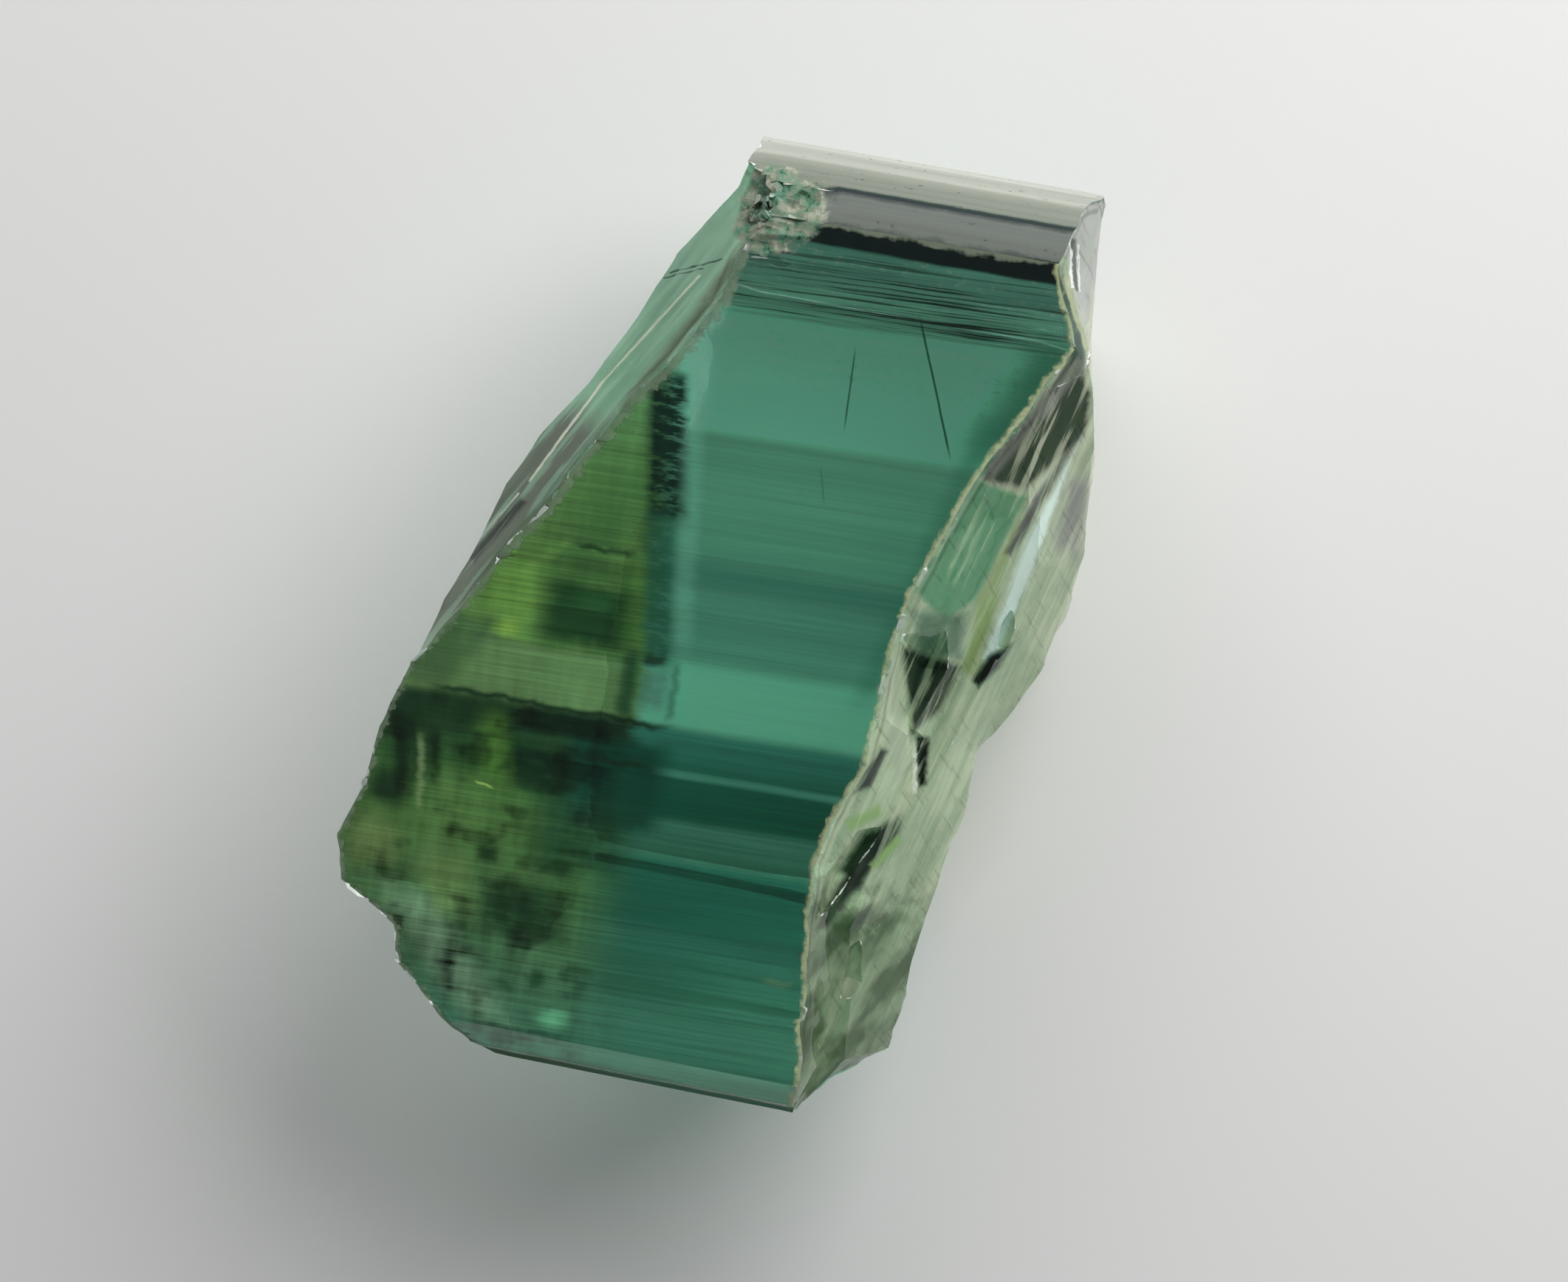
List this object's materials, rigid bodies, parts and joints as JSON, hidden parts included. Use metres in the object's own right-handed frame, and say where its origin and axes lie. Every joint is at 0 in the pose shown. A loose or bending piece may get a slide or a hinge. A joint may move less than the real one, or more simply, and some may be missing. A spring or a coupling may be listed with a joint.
{
  "type": "tourmaline crystal",
  "caption": "Broken length of clear blue-green tourmaline: a rounded prism, striated lengthwise, with stepped, shell-shaped breaks across its ends.",
  "frame": {"origin": "under the middle of the crystal's bounding box, on its flat back facet", "axes": "+X along the prism's long (c) axis towards the break with the ledges; +Y towards the head side, whose bevelled facets round off the broad front facet; +Z out of the front facet, up"},
  "size_m": [0.0102, 0.0144, 0.0065],
  "materials": {
    "tourmaline": "clear and glossy, with a frosted bloom on the steep prism facets and along broken edges"
  },
  "bodies": {
    "root": {"tourmaline_crystal": "tourmaline"}
  },
  "joints": []
}
